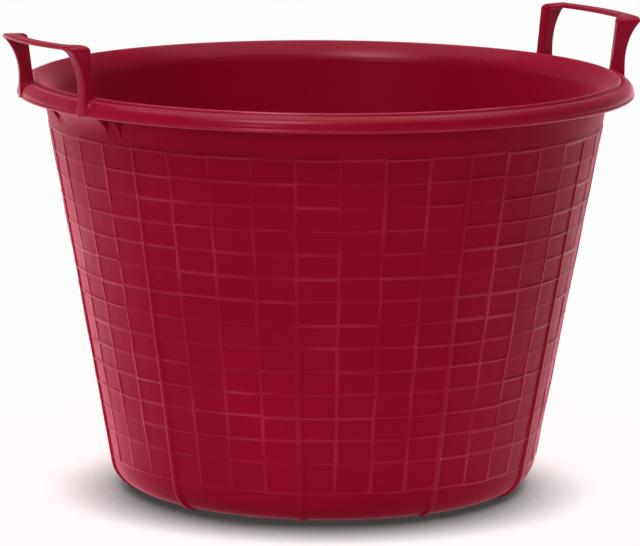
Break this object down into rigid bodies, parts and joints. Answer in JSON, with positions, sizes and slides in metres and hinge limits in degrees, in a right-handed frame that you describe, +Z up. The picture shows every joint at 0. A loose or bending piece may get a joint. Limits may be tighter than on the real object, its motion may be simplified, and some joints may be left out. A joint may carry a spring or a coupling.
{
  "type": "plastic harvest tub",
  "caption": "Round tapered plastic tub for harvest work, with a raised net and ribs on its wall, a rolled rim and fixed handles that stand up from the rim.",
  "frame": {"origin": "centre of the ring that the tub stands on, at ground level", "axes": "+Z up along the tub's axis, +X through the right handle, +Y to the back"},
  "size_m": [0.5272, 0.5, 0.378],
  "materials": {
    "tub_plastic": "glossy dark red moulded plastic with light scuffs"
  },
  "bodies": {
    "root": {"floor_panel": "tub_plastic", "heel_ring": "tub_plastic", "wall_cone": "tub_plastic", "stiffening_ribs": "tub_plastic", "net_uprights": "tub_plastic", "rolled_rim": "tub_plastic", "rim_gussets": "tub_plastic", "rim_webs": "tub_plastic", "right_handle_posts": "tub_plastic", "right_handle_grip": "tub_plastic", "left_handle_posts": "tub_plastic", "left_handle_grip": "tub_plastic"}
  },
  "joints": []
}
